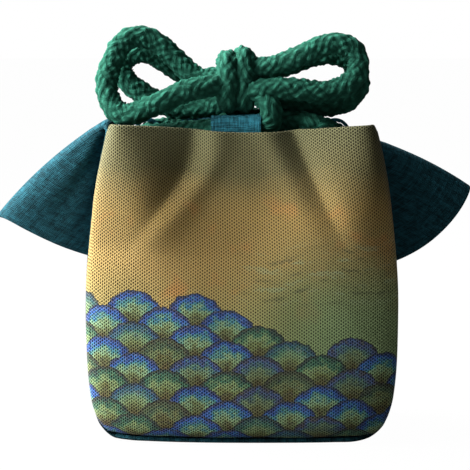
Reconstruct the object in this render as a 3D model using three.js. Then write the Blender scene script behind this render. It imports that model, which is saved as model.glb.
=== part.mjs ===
// Kinchaku drawstring pouch: two printed panels and one teal strip sewn into a padded bag, with a lining,
// four belt loops and a thick cord drawn round the mouth and tied in a double bow.
// Millimetres, +Z up, front towards -Y, origin in the middle of the base's underside.
import * as THREE from "three";

const { clamp, degToRad, lerp, smoothstep } = THREE.MathUtils;

// Body of the pouch, outside
const BODY_WIDTH = 121;
const BODY_DEPTH = 74;
const RIM_HEIGHT = 123.5;
const BELLY_HEIGHT = 0.405 * RIM_HEIGHT;
const FOOT_WIDTH = 0.938 * BODY_WIDTH;
const FOOT_DEPTH = 0.946 * BODY_DEPTH;
const RIM_WIDTH = 0.868 * BODY_WIDTH;
const RIM_DEPTH = 0.595 * BODY_DEPTH;
const RIM_DIP = 3;
const RIM_DIP_REACH = 45;
const SEAM_RISE = 3.4;
const FOOT_CORNER_IN = 6;
const FOOT_CORNER_RISE = 16;
const FOOT_ROLL_IN = 3;
const FOOT_ROLL_RISE = 8;

// Printed panels: how far they wrap round the upright edges, and how square that edge is, low and at the rim
const EDGE_WRAP = 11;
const BODY_SQUARENESS = 2.9;
const RIM_SQUARENESS = 5;
const SQUARE_FROM = 75;
const SQUARE_FULL = 118;
const PANEL_THICKNESS = 2.2;

// Gathers that the drawn cord leaves in each panel: two creases beside the centre, each with a low roll
// inside it and a full lobe outside it. A crease bends outwards from the late depth below the rim. Those of
// the back panel lie further to the left.
const BACK_GATHER_SHIFT = -14;
const GATHER_DEPTH = 46;
const GATHER_FADE = 0.85;
const CREASE_ROUND = 1.2;
const LATE_ROUND = 6;
const ROLL_OUT = 1.2;
const ROLL_OFF = 7;
const ROLL_WIDTH = 4.8;
const LOBE_PLACE = 54;
const LOBE_WIDTH = 24;
const LOBE_SQUARENESS = 12;
const CREASES = [
  { side: -1, place: 16, spread: 0.78, late: 14, depth: 3.6, inner: 4, outer: 7, lobe: 5 },
  { side: 1, place: 14, spread: 0.54, late: 0, depth: 3, inner: 5, outer: 4, lobe: 7 },
];

// Teal strip and its two wings. A pinch lies beside the rim's corner, angles are degrees below level, and
// reaches are lengths from the pinch. The ridge leaves the pinch flatter than its angle by the arch,
// and the hem lies further back than the pinch by the sweep.
const STRIP_THICKNESS = 1.4;
const BASE_LIP_START = 0.8;
const SIDE_SAG = { low: 2, high: 8.5, rim: 4 };
const SAG_FROM = 0.33;
const SAG_FULL = 0.6;
const SAG_RELEASE_FROM = 0.87;
const SAG_RELEASE_FULL = 0.99;
const PINCH_HALF_WIDTH = 7;
const PINCH_DROP = 4;
const PINCH_INWARD = 0.35;
const WING_HALF_WIDTH = 9.5;
const WING_FULLNESS = 0.5;
const WING_TUCK = 0.72;
const WING_FULLEST_AT = WING_FULLNESS / (WING_TUCK * (1 + WING_FULLNESS));
const WING_FULLEST = WING_FULLEST_AT ** WING_FULLNESS / (1 + WING_FULLNESS);
const RIDGE_ROUND = 0.25;
const WINGS = {
  left: {
    side: -1,
    pinch: { x: RIM_WIDTH / 2 + 0.9, z: RIM_HEIGHT },
    ridge: { angle: 41.2, reach: 56.6, arch: 9.8, sweep: 2 },
    inner: { angle: 85.8, reach: 53 },
    hemDip: 0.045,
  },
  right: {
    side: 1,
    pinch: { x: RIM_WIDTH / 2 - 0.8, z: RIM_HEIGHT - 7.8 },
    ridge: { angle: 26.1, reach: 43.8, arch: 8, sweep: 9 },
    inner: { angle: 83.8, reach: 50 },
    hemDip: 0.039,
  },
};

// Lining bag
const LINING_THICKNESS = 0.9;
const LINING_GAP = 1.6;
const LINING_BELOW_RIM = 4;
const LINING_FLOOR = 2.1;
const LINING_FLOOR_SHARE = 0.86;
const LINING_WALL_START = 12;

// Drawstring and the belt loops that it runs through
const CORD_DIAMETER = 8.6;
const CORD_SIDES = 10;
const LOOP_CLEARANCE = 0.8;
const TAB_THICKNESS = 1.2;
const TAB_TONGUE = 9;
const FRONT_TAB_WIDTH = 19.4;
const SIDE_TAB_WIDTH = 5;
const FRONT_TAB_X = -2.3;
const BACK_TAB_OFFSET = 2;
const BACK_TAB_X = FRONT_TAB_X + BACK_GATHER_SHIFT + BACK_TAB_OFFSET;
const NECK_HEIGHT_FRONT = RIM_HEIGHT - 2.4;
const NECK_HEIGHT = RIM_HEIGHT - 4.5;
const FRONT_LOOP_GAP = 1.5;
const SIDE_LOOP_GAP = 0.9;

// Gaps that sewn and touching pieces keep
const SEAM_GAP = 0.7;
const TAB_GAP = 2.4;

// Colours
const canvas = new THREE.MeshStandardMaterial({ color: 0xb08d52, roughness: 0.9, metalness: 0 });
const tealLinen = new THREE.MeshStandardMaterial({ color: 0x1f5a6b, roughness: 0.9, metalness: 0 });
const liningCloth = new THREE.MeshStandardMaterial({ color: 0x17404a, roughness: 0.85, metalness: 0 });
const greenCotton = new THREE.MeshStandardMaterial({ color: 0x1c7a58, roughness: 0.95, metalness: 0 });

const pouch = new THREE.Group();

function addPiece(name, geometry, material) {
  const piece = new THREE.Mesh(geometry, material.clone());
  piece.name = name;
  pouch.add(piece);
  return piece;
}

// How far a rounded corner still draws in at a height above the bottom seam
function cornerDrawIn(z, amount, rise) {
  const left = 1 - Math.min((z - SEAM_RISE) / rise, 1);
  return amount * (1 - Math.sqrt(1 - left * left));
}

// Swell between foot, belly and rim: a parabola below the belly and another above it
function swell(z, foot, belly, rim) {
  const above = (z - BELLY_HEIGHT) / (RIM_HEIGHT - BELLY_HEIGHT);
  const below = (BELLY_HEIGHT - z) / (BELLY_HEIGHT - SEAM_RISE);
  const drawIn = z > BELLY_HEIGHT ? (belly - rim) * above ** 2 : (belly - foot) * below ** 2;
  return (belly - drawIn) / 2;
}

const halfWidth = (z) =>
  swell(z, FOOT_WIDTH, BODY_WIDTH, RIM_WIDTH) - cornerDrawIn(z, FOOT_CORNER_IN, FOOT_CORNER_RISE);
const halfDepth = (z) =>
  swell(z, FOOT_DEPTH, BODY_DEPTH, RIM_DEPTH) - cornerDrawIn(z, FOOT_ROLL_IN, FOOT_ROLL_RISE);
const seamDepth = (z) => halfDepth(z) - EDGE_WRAP;

// How far the gathers push a panel outwards at a place on it
function gather(x, z) {
  const below = Math.max(RIM_HEIGHT - z, 0);
  const fade = smoothstep(GATHER_DEPTH - below, 0, GATHER_FADE * GATHER_DEPTH);
  let out = 0;
  for (const { side, place, spread, late, depth, inner, outer, lobe } of CREASES) {
    const bent = (Math.hypot(below - late, LATE_ROUND) + below - late) / 2;
    const fromCrease = side * x - place - spread * bent;
    const fromLobe = side * x - LOBE_PLACE;
    const wide = fromCrease > 0 ? outer : inner;
    out -= depth * Math.exp((CREASE_ROUND - Math.hypot(fromCrease, CREASE_ROUND)) / wide);
    out += ROLL_OUT * Math.exp(-(((fromCrease + ROLL_OFF) / ROLL_WIDTH) ** 2));
    out += lobe * Math.exp(-((fromLobe / LOBE_WIDTH) ** 2));
  }
  return fade * out;
}

// Height of the rim, which dips between the gathers
function rimHeight(x) {
  const turn = (Math.PI / 2) * Math.min(Math.abs(x) / RIM_DIP_REACH, 1);
  return RIM_HEIGHT - RIM_DIP * Math.cos(turn) ** 2;
}

// A point on the outside of a printed panel. across runs -1 to 1 from seam to seam, up 0 to 1 from the bottom
// seam to the rim, and facing is -1 for the front panel and 1 for the back panel.
function panelPoint(across, up, facing, below = 0) {
  const level = SEAM_RISE + up * (RIM_HEIGHT - below - SEAM_RISE);
  const share = Math.sin((Math.PI / 2) * across);
  const x = halfWidth(level) * share;
  const z = SEAM_RISE + up * (rimHeight(x) - below - SEAM_RISE);
  const square = lerp(BODY_SQUARENESS, RIM_SQUARENESS, smoothstep(level, SQUARE_FROM, SQUARE_FULL));
  const depth = seamDepth(level) + EDGE_WRAP * (1 - Math.abs(share) ** square) ** (1 / square);
  const fromMiddle = facing < 0 ? x : x - BACK_GATHER_SHIFT;
  const offSeam = 1 - Math.abs(share) ** LOBE_SQUARENESS;
  return new THREE.Vector3(x, facing * (depth + offSeam * gather(fromMiddle, z)), z);
}

// How far the side of the strip sags in at a height
function sideSag(z) {
  const up = z / RIM_HEIGHT;
  const sagged = smoothstep(up, SAG_FROM, SAG_FULL);
  const released = smoothstep(up, SAG_RELEASE_FROM, SAG_RELEASE_FULL);
  return SIDE_SAG.low + (SIDE_SAG.high - SIDE_SAG.low) * sagged - (SIDE_SAG.high - SIDE_SAG.rim) * released;
}

// A point on the outside of the strip's side at a height. across runs -1 to 1 from front to back seam.
// Towards the bottom seam the middle of the row drops to the base, and only the lip stays up.
function sidePoint(across, z, side) {
  const sag = 0.5 + 0.5 * Math.cos(Math.PI * across);
  const drop = SEAM_RISE * (1 - Math.min((z - SEAM_RISE) / FOOT_CORNER_RISE, 1)) ** 2;
  return new THREE.Vector3(
    side * (halfWidth(z) - sideSag(z) * sag),
    (seamDepth(z) - SEAM_GAP) * across,
    z - drop * (1 - (LIP_RISE / SEAM_RISE) * lip(across)),
  );
}

// Rise of the base's lip, from 0 on the flat to 1 at the seam, where it ends just under the panel's edge
const LIP_RISE = SEAM_RISE - STRIP_THICKNESS - SEAM_GAP;
function lip(across) {
  return Math.max((Math.abs(across) - BASE_LIP_START) / (1 - BASE_LIP_START), 0) ** 2;
}

// A point on the underside of the base, across it from the front to the back seam
function basePoint(across, x) {
  const share = Math.min(Math.abs(x) / halfWidth(SEAM_RISE), 1);
  const squared = (1 - share ** BODY_SQUARENESS) ** (1 / BODY_SQUARENESS);
  const depth = seamDepth(SEAM_RISE) + EDGE_WRAP * squared - SEAM_GAP;
  return new THREE.Vector3(x, depth * across, LIP_RISE * lip(across));
}

// A point on the underside of a wing: a fan from the pinch, folded along its ridge. out runs 0 to 1 from the
// pinch to the hem, across -1 to 1 from the front inner edge over the ridge to the back inner edge.
function wingPoint(across, out, wing) {
  const off = Math.abs(across);
  const turned = (Math.hypot(off, RIDGE_ROUND) - RIDGE_ROUND) / (Math.hypot(1, RIDGE_ROUND) - RIDGE_ROUND);
  const flatter = wing.ridge.arch * (1 - out) * (1 - off);
  const angle = degToRad(lerp(wing.ridge.angle, wing.inner.angle, turned) - flatter);
  const dip = 1 - wing.hemDip * 4 * off * (1 - off);
  const reach = out * dip * lerp(wing.ridge.reach, wing.inner.reach, off);
  const spread = lerp(PINCH_HALF_WIDTH, WING_HALF_WIDTH, out);
  const full = (off ** WING_FULLNESS * (1 - WING_TUCK * off)) / WING_FULLEST;
  return new THREE.Vector3(
    wing.side * (wing.pinch.x + reach * Math.cos(angle)),
    Math.sign(across) * spread * full + wing.ridge.sweep * out,
    wing.pinch.z - reach * Math.sin(angle),
  );
}

// A closed sheet of even thickness: rows of points are its outside, and the inside lies behind them
function sheet(rows, thickness) {
  const across = rows[0].length;
  const at = (i, j) => rows[clamp(i, 0, rows.length - 1)][clamp(j, 0, across - 1)];
  const outside = rows.flat();
  const inside = rows.flatMap((row, i) =>
    row.map((point, j) => {
      const along = at(i + 1, j).clone().sub(at(i - 1, j));
      const sideways = at(i, j + 1).clone().sub(at(i, j - 1));
      return point.clone().addScaledVector(along.cross(sideways).normalize(), -thickness);
    }),
  );
  const count = outside.length;
  const index = [];
  const quad = (a, b, c, d) => index.push(a, b, c, a, c, d);
  for (let i = 0; i < rows.length - 1; i++) {
    for (let j = 0; j < across - 1; j++) {
      const a = i * across + j;
      const b = a + across;
      quad(a, b, b + 1, a + 1);
      quad(count + a, count + a + 1, count + b + 1, count + b);
    }
  }
  const last = count - across;
  for (let j = 0; j < across - 1; j++) {
    quad(j, j + 1, count + j + 1, count + j);
    quad(last + j, count + last + j, count + last + j + 1, last + j + 1);
  }
  for (let i = 0; i < rows.length - 1; i++) {
    const a = i * across;
    const b = a + across - 1;
    quad(a, count + a, count + a + across, a + across);
    quad(b, b + across, count + b + across, count + b);
  }
  return solidOf([...outside, ...inside], index);
}

function solidOf(points, index) {
  const geometry = new THREE.BufferGeometry().setFromPoints(points);
  geometry.setIndex(index);
  geometry.computeVertexNormals();
  return geometry;
}

// Evenly spaced numbers from one value to another, both included
const steps = (from, to, count) =>
  Array.from({ length: count + 1 }, (_, i) => lerp(from, to, i / count));

// Heights packed closer at both ends, where the foot rounds and the rim gathers
const closerAtEnds = (share) => (share + 0.5 - 0.5 * Math.cos(Math.PI * share)) / 2;

// Front and back panels
const PANEL_COLUMNS = 32;
const PANEL_ROWS = 14;
for (const [name, facing] of [["front_panel", -1], ["back_panel", 1]]) {
  const columns = steps(facing, -facing, PANEL_COLUMNS);
  const rows = steps(1, 0, PANEL_ROWS).map((share) =>
    columns.map((across) => panelPoint(across, closerAtEnds(share), facing)),
  );
  addPiece(name, sheet(rows, PANEL_THICKNESS), canvas);
}

// Strip: left wing, left side, base, right side, right wing, in one run of rows
const STRIP_COLUMNS = 10;
const WING_ROWS = 6;
const WING_START = 0.1;
const SIDE_ROWS = 10;
const BASE_ROWS = 3;
const BASE_OUTER = 0.88;
const BASE_INNER = 0.3;
const stripColumns = steps(1, -1, STRIP_COLUMNS);
function stripHalf(wing) {
  const rowOf = (place) => stripColumns.map(place);
  const wingRows = steps(1, WING_START, WING_ROWS).map((out) =>
    rowOf((across) => wingPoint(across, out, wing)),
  );
  const top = RIM_HEIGHT - PINCH_DROP - (WINGS.left.pinch.z - wing.pinch.z);
  const pinchRow = rowOf((across) => {
    const outer = wingPoint(across, 0, wing);
    const inner = sidePoint(across, top, wing.side);
    return outer.lerp(inner, PINCH_INWARD).setZ(wing.pinch.z - (PINCH_DROP / 2) * across * across);
  });
  const sideRows = steps(1, 0, SIDE_ROWS).map((share) =>
    rowOf((across) => sidePoint(across, lerp(SEAM_RISE, top, closerAtEnds(share)), wing.side)),
  );
  const baseRows = steps(BASE_OUTER, BASE_INNER, BASE_ROWS).map((share) =>
    rowOf((across) => basePoint(across, wing.side * share * halfWidth(SEAM_RISE))),
  );
  return [...wingRows, pinchRow, ...sideRows, ...baseRows];
}
const stripRows = [
  ...stripHalf(WINGS.left),
  stripColumns.map((across) => basePoint(across, 0)),
  ...stripHalf(WINGS.right).reverse(),
];
addPiece("gusset_strip", sheet(stripRows, STRIP_THICKNESS), tealLinen);

// Lining: a bag whose rows run round the inside of panels and strip, closed by a flat floor
const LINING_ROWS = 11;
function liningLoop(up) {
  const level = lerp(SEAM_RISE, RIM_HEIGHT - LINING_BELOW_RIM, up);
  const front = steps(-1, 1, PANEL_COLUMNS).slice(0, -1);
  const side = steps(-1, 1, STRIP_COLUMNS).slice(0, -1);
  return [
    ...front.map((across) => panelPoint(across, up, -1, LINING_BELOW_RIM)),
    ...side.map((across) => sidePoint(across, level, 1)),
    ...front.map((across) => panelPoint(-across, up, 1, LINING_BELOW_RIM)),
    ...side.map((across) => sidePoint(-across, level, -1)),
  ];
}
function lining() {
  const start = (LINING_WALL_START - SEAM_RISE) / (RIM_HEIGHT - LINING_BELOW_RIM - SEAM_RISE);
  const loops = steps(0, 1, LINING_ROWS).map((share) => liningLoop(lerp(start, 1, closerAtEnds(share))));
  const foot = liningLoop(0);
  const around = foot.length;
  const inset = (i, j, distance) => {
    const row = loops[i];
    const along = row[(j + 1) % around].clone().sub(row[(j + around - 1) % around]);
    const upwards = loops[Math.min(i + 1, LINING_ROWS)][j].clone().sub(loops[Math.max(i - 1, 0)][j]);
    return row[j].clone().addScaledVector(along.cross(upwards).normalize(), -distance);
  };
  const skin = (distance, floor) => {
    const walls = loops.map((row, i) => row.map((_, j) => inset(i, j, distance)));
    const floorRing = (share) => foot.map((p) => new THREE.Vector3(p.x * share, p.y * share, floor));
    return [floorRing(LINING_FLOOR_SHARE / 2), floorRing(LINING_FLOOR_SHARE), ...walls];
  };
  const outerGap = PANEL_THICKNESS + LINING_GAP;
  const outer = skin(outerGap, LINING_FLOOR);
  const inner = skin(outerGap + LINING_THICKNESS, LINING_FLOOR + LINING_THICKNESS);
  const points = [...outer.flat(), ...inner.flat()];
  const count = outer.length * around;
  const index = [];
  const quad = (a, b, c, d) => index.push(a, b, c, a, c, d);
  for (let i = 0; i < outer.length - 1; i++) {
    for (let j = 0; j < around; j++) {
      const a = i * around + j;
      const b = i * around + ((j + 1) % around);
      quad(a, b, b + around, a + around);
      quad(count + a, count + a + around, count + b + around, count + b);
    }
  }
  const rim = (outer.length - 1) * around;
  for (let j = 0; j < around; j++) {
    const next = (j + 1) % around;
    quad(rim + j, rim + next, count + rim + next, count + rim + j);
    index.push(2 * count, next, j);
    index.push(2 * count + 1, count + j, count + next);
  }
  points.push(new THREE.Vector3(0, 0, LINING_FLOOR));
  points.push(new THREE.Vector3(0, 0, LINING_FLOOR + LINING_THICKNESS));
  return solidOf(points, index);
}
addPiece("lining", lining(), liningCloth);

// Belt loops: a strap folded round the cord, its two ends laid together in a tongue sewn to the lining.
// The outline is drawn with the cord's axis at its origin, +X towards the mouth's middle and +Y up.
const LOOP_INSIDE = CORD_DIAMETER / 2 + LOOP_CLEARANCE;
const LOOP_OUTSIDE = LOOP_INSIDE + TAB_THICKNESS;
const LAYERS = PANEL_THICKNESS + LINING_GAP + LINING_THICKNESS;
const TAB_CURVE_STEPS = 8;
function tabGeometry(width, lean) {
  const strap = 2 * TAB_THICKNESS;
  const meet = Math.acos((LOOP_OUTSIDE - strap) / LOOP_OUTSIDE) - Math.PI;
  const outline = new THREE.Shape();
  outline.absarc(0, 0, LOOP_OUTSIDE, meet, Math.PI, false);
  outline.lineTo(-LOOP_OUTSIDE - lean, -TAB_TONGUE);
  outline.lineTo(strap - LOOP_OUTSIDE - lean, -TAB_TONGUE);
  outline.closePath();
  const tunnel = new THREE.Path();
  tunnel.absarc(0, 0, LOOP_INSIDE, 0, 2 * Math.PI, true);
  outline.holes.push(tunnel);
  const settings = { depth: width, bevelEnabled: false, curveSegments: TAB_CURVE_STEPS };
  const geometry = new THREE.ExtrudeGeometry(outline, settings);
  return geometry.translate(0, 0, -width / 2).rotateX(Math.PI / 2);
}

// Where the lining's inner face stands at a height: distance from the middle of the mouth, given the outside
const insideOf = (outside, z) => {
  const slope = outside(z + 1) - outside(z);
  return outside(z) - (LAYERS + TAB_GAP) * Math.hypot(1, slope);
};
const frontOutside = (z) => -panelPoint(0, (z - SEAM_RISE) / (RIM_HEIGHT - RIM_DIP - SEAM_RISE), -1).y;
const sideOutside = (z) => sidePoint(0, z, 1).x;
const NECK_HALF_DEPTH = frontOutside(NECK_HEIGHT_FRONT) - PANEL_THICKNESS - FRONT_LOOP_GAP - LOOP_OUTSIDE;
const NECK_HALF_WIDTH = sideOutside(NECK_HEIGHT) - LAYERS - SIDE_LOOP_GAP - LOOP_OUTSIDE;
const TABS = [
  { name: "front_tab", turn: 90, x: FRONT_TAB_X, y: -NECK_HALF_DEPTH, z: NECK_HEIGHT_FRONT },
  { name: "back_tab", turn: -90, x: BACK_TAB_X, y: NECK_HALF_DEPTH, z: NECK_HEIGHT_FRONT },
  { name: "left_tab", turn: 0, x: -NECK_HALF_WIDTH, y: 0, z: NECK_HEIGHT },
  { name: "right_tab", turn: 180, x: NECK_HALF_WIDTH, y: 0, z: NECK_HEIGHT },
];
for (const { name, turn, x, y, z } of TABS) {
  const onPanel = y !== 0;
  const wall = insideOf(onPanel ? frontOutside : sideOutside, z - TAB_TONGUE);
  const lean = wall - (onPanel ? NECK_HALF_DEPTH : NECK_HALF_WIDTH) - LOOP_OUTSIDE;
  const tab = addPiece(name, tabGeometry(onPanel ? FRONT_TAB_WIDTH : SIDE_TAB_WIDTH, lean), tealLinen);
  tab.position.set(x, y, z);
  tab.rotation.z = degToRad(turn);
}

// Drawstring: the run round the mouth and the four loops of the bow, each along points chosen by hand
function cord(name, points, stepCount) {
  const path = new THREE.CatmullRomCurve3(points.map((p) => new THREE.Vector3(...p)));
  const section = new THREE.Shape().absarc(0, 0, CORD_DIAMETER / 2, 0, 2 * Math.PI, false);
  const settings = { steps: stepCount, extrudePath: path, curveSegments: CORD_SIDES / 2 };
  addPiece(name, new THREE.ExtrudeGeometry(section, settings), greenCotton);
}

cord("neck_cord", [
  [10.6, -14.2, 131.2],
  [11.9, -14, 127.4],
  [11.2, -13, 123.7],
  [9.7, -11.8, 121.6],
  [FRONT_TAB_X, -NECK_HALF_DEPTH, NECK_HEIGHT_FRONT],
  [-12, -NECK_HALF_DEPTH, NECK_HEIGHT_FRONT - 0.1],
  [-24, -11.4, 120],
  [-33, -9.2, 119.2],
  [-NECK_HALF_WIDTH, -3.6, NECK_HEIGHT],
  [-NECK_HALF_WIDTH, 0, NECK_HEIGHT],
  [-NECK_HALF_WIDTH, 3.6, NECK_HEIGHT + 0.1],
  [-33.4, 9, 120],
  [-26, 11.5, 120.9],
  [BACK_TAB_X, NECK_HALF_DEPTH, NECK_HEIGHT_FRONT],
  [-3, NECK_HALF_DEPTH, NECK_HEIGHT_FRONT],
  [9, NECK_HALF_DEPTH, NECK_HEIGHT_FRONT - 0.1],
  [22, 11.5, 120.4],
  [33, 9.2, 119.4],
  [NECK_HALF_WIDTH, 3.6, NECK_HEIGHT],
  [NECK_HALF_WIDTH, 0, NECK_HEIGHT],
  [NECK_HALF_WIDTH, -3.6, NECK_HEIGHT + 0.2],
  [33.6, -8.6, 121],
  [27, -9.4, 123.2],
  [18, -6, 124.1],
  [9, -1.8, 124.8],
  [-5, -1, 124.8],
], 56);
cord("bow_loop_left_front", [
  [-10.5, -3.8, 141],
  [-16.8, -2.7, 140.5],
  [-21.9, -1.4, 144.1],
  [-26.4, -0.7, 148.6],
  [-31.1, -0.6, 153],
  [-36.5, -0.7, 156.5],
  [-42.8, -1.2, 157.2],
  [-47.8, -2.8, 153.7],
  [-50.5, -4.7, 148.2],
  [-52.5, -7, 142.4],
  [-52.9, -9.3, 136.4],
  [-50.8, -11.4, 130.8],
  [-46.2, -13.8, 127.2],
  [-40.2, -15.8, 128],
  [-34.4, -16.4, 130.8],
  [-28.6, -16.5, 133.6],
  [-22.7, -15.8, 136.1],
  [-16.7, -14.6, 137.8],
  [-10.5, -12.8, 138.6],
], 30);
cord("bow_loop_left_back", [
  [-10.5, 5, 139.4],
  [-16.7, 6.9, 139.3],
  [-22.6, 8, 141.5],
  [-27.9, 8.5, 145.1],
  [-33.2, 8.8, 148.7],
  [-39.2, 9, 151],
  [-45.3, 9, 149.4],
  [-48.6, 8.5, 144.2],
  [-45.5, 8.1, 138.8],
  [-40.3, 7.5, 135.1],
  [-35, 6.2, 131.8],
  [-29.2, 4.6, 129.6],
  [-23, 3.1, 128.9],
  [-16.7, 1.5, 129.1],
  [-10.5, 0, 129.8],
], 25);
cord("bow_loop_right_front", [
  [5.8, -7.8, 144.8],
  [12.2, -8.9, 145.7],
  [18.4, -9.6, 147.9],
  [24.4, -10, 150.7],
  [30.4, -10, 153.3],
  [36.8, -10, 154.9],
  [42.9, -10, 152.8],
  [45.7, -10.2, 147],
  [43.7, -10.7, 140.9],
  [38.4, -11.3, 137.2],
  [32, -11.9, 136],
  [25.4, -12.5, 136.3],
  [18.9, -12.9, 137.1],
  [12.3, -12.9, 137.4],
  [5.8, -12.4, 136.6],
], 25);
cord("bow_loop_right_back", [
  [5.8, 1.6, 144.8],
  [12.1, 2.3, 144.8],
  [18.2, 2.4, 146.2],
  [24.1, 2.2, 148.2],
  [30.1, 1.8, 150.1],
  [36.4, 1.3, 150.5],
  [42.2, 0.7, 148.6],
  [45.9, 0.2, 143.6],
  [46.2, -0.2, 137.4],
  [42.7, -0.5, 132.4],
  [36.8, -0.6, 130.3],
  [30.5, -0.8, 130],
  [24.3, -0.9, 130.9],
  [18.2, -1.1, 132.2],
  [12, -1.5, 133.4],
  [5.8, -2, 134.4],
], 25);

// Knot of the bow: two turns of the cord side by side, as one closed barrel lying across the mouth
const KNOT = {
  x: -2.3,
  y: -6,
  z: 141.2,
  halfWidth: 7,
  leftRadius: 11.8,
  rightRadius: 13,
  grooveRadius: 11,
  endRadius: 9,
};
const KNOT_DEPTH_SHARE = 0.72;
const KNOT_TURN_PLACE = 0.55;
const KNOT_PROFILE_STEPS = 10;
const KNOT_SIDES = 18;
const knotProfile = new THREE.SplineCurve([
  new THREE.Vector2(KNOT.endRadius, -KNOT.halfWidth),
  new THREE.Vector2(KNOT.leftRadius, -KNOT.halfWidth * KNOT_TURN_PLACE),
  new THREE.Vector2(KNOT.grooveRadius, 0),
  new THREE.Vector2(KNOT.rightRadius, KNOT.halfWidth * KNOT_TURN_PLACE),
  new THREE.Vector2(KNOT.endRadius, KNOT.halfWidth),
]).getPoints(KNOT_PROFILE_STEPS);
const knotOutline = [
  new THREE.Vector2(0, -KNOT.halfWidth),
  ...knotProfile,
  new THREE.Vector2(0, KNOT.halfWidth),
];
const knotShape = new THREE.LatheGeometry(knotOutline, KNOT_SIDES);
knotShape.rotateZ(-Math.PI / 2).scale(1, KNOT_DEPTH_SHARE, 1);
addPiece("bow_knot", knotShape, greenCotton).position.set(KNOT.x, KNOT.y, KNOT.z);

export default pouch;
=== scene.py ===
"""Kinchaku drawstring pouch: printed panels, a teal strip with folded wings and a braided cord in a bow."""

import bmesh
import bpy
import numpy as np
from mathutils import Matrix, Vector


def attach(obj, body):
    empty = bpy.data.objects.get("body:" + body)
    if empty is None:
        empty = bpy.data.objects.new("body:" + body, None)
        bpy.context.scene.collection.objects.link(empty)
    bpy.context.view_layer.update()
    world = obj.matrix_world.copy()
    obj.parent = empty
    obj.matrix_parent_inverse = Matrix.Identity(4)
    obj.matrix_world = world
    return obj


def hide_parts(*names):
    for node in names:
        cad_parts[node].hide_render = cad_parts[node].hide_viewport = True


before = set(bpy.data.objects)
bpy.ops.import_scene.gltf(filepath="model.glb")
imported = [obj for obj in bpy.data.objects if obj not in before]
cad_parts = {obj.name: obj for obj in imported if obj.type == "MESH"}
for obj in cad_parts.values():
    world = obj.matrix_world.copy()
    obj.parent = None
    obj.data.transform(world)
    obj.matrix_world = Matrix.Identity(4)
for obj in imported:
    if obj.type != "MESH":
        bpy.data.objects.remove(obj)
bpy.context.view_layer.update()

# Front and back panels. Two pieces of coarse printed cotton canvas, backed with batting, with the rim turned
# in and blind-stitched. The drawn cord gathers each rim into two creases, with a full lobe outside each and a
# low roll inside.
BODY_WIDTH, BODY_DEPTH, RIM_HEIGHT, SEAM_RISE = 121.0, 74.0, 123.5, 3.4
BELLY_HEIGHT = 0.405 * RIM_HEIGHT
FOOT_WIDTH, RIM_WIDTH = 0.938 * BODY_WIDTH, 0.868 * BODY_WIDTH
FOOT_DEPTH, RIM_DEPTH = 0.946 * BODY_DEPTH, 0.595 * BODY_DEPTH
FOOT_CORNER_IN, FOOT_CORNER_RISE = 6.0, 16.0
FOOT_ROLL_IN, FOOT_ROLL_RISE = 3.0, 8.0
RIM_DIP, RIM_DIP_MIDDLE, RIM_DIP_REACH = 3.3, 3.0, 52.0
RIM_CORNER_FROM, RIM_CORNER_DROP, BACK_RIM_DROP = 0.965, 2.6, 4.0
EDGE_WRAP, LEFT_SQUARENESS, RIGHT_SQUARENESS, RIM_SQUARENESS = 11.0, 1.95, 3.3, 9.0
SQUARE_FROM, SQUARE_FULL = 75.0, 118.0
GATHER_DEPTH, GATHER_FADE, BACK_GATHER_SHIFT = 54.0, 0.85, -14.0
CREASES = (
    {"side": -1, "place": 18.5, "spread": 0.75, "late": 14.0, "depth": 3.4, "inner": 5.0, "outer": 7.4},
    {"side": 1, "place": 17.5, "spread": 0.47, "late": 0.0, "depth": 5.2, "inner": 5.4, "outer": 4.2},
)
LOBES = (
    {"side": -1, "place": 48.0, "drift": 0.38, "width": 15.0, "height": 6.6},
    {"side": 1, "place": 48.0, "drift": 0.22, "width": 19.0, "height": 6.5},
)
LOBE_DEPTH, LOBE_SQUARENESS = 75.0, 30.0
CREASE_ROUND, LATE_ROUND = 1.8, 6.0
ROLL_OUT, ROLL_OFF, ROLL_WIDTH = 1.9, 9.0, 6.0
PANEL_RIPPLE = 0.22
PANEL_HEM, HEM_RADIUS = 9.0, 1.0
SEAM_ALLOWANCE, SEAM_RADIUS = 2.5, 0.7
FOLD_TURNS, FOLD_BACKS = 6, 3
FOLD_ROWS = FOLD_TURNS + FOLD_BACKS
PANEL_ROWS, PANEL_COLUMNS = 150, 190
MM = 0.001


def unit(vectors):
    """Vectors divided by their lengths."""
    return vectors / np.linalg.norm(vectors, axis=-1, keepdims=True)


def smoothstep(value, low, high):
    """Zero below low, one above high, and 3t squared less 2t cubed between them."""
    t = np.clip((value - low) / (high - low), 0, 1)
    return t * t * (3 - 2 * t)


def corner_in(z, amount, rise):
    """Inset at height z of a quarter ellipse, amount wide and rise high, that starts at the bottom seam."""
    left = 1 - np.clip((z - SEAM_RISE) / rise, 0, 1)
    return amount * (1 - np.sqrt(1 - left**2))


def swell(z, foot, belly, rim):
    """Half a width that falls off as a parabola from the belly down to the foot and up to the rim."""
    above = (z - BELLY_HEIGHT) / (RIM_HEIGHT - BELLY_HEIGHT)
    below = (BELLY_HEIGHT - z) / (BELLY_HEIGHT - SEAM_RISE)
    return (belly - np.where(z > BELLY_HEIGHT, (belly - rim) * above**2, (belly - foot) * below**2)) / 2


def half_width(z):
    """The body's half width: the swell less the rounded bottom corner."""
    return swell(z, FOOT_WIDTH, BODY_WIDTH, RIM_WIDTH) - corner_in(z, FOOT_CORNER_IN, FOOT_CORNER_RISE)


def seam_depth(z):
    """Distance of the upright seams from the middle plane: the body's half depth less the panel's wrap."""
    deep = swell(z, FOOT_DEPTH, BODY_DEPTH, RIM_DEPTH) - corner_in(z, FOOT_ROLL_IN, FOOT_ROLL_RISE)
    return deep - EDGE_WRAP


def faded(below, depth):
    """1 at the rim, easing out to 0 at a depth below it."""
    return smoothstep(depth - below, 0, GATHER_FADE * depth)


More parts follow.
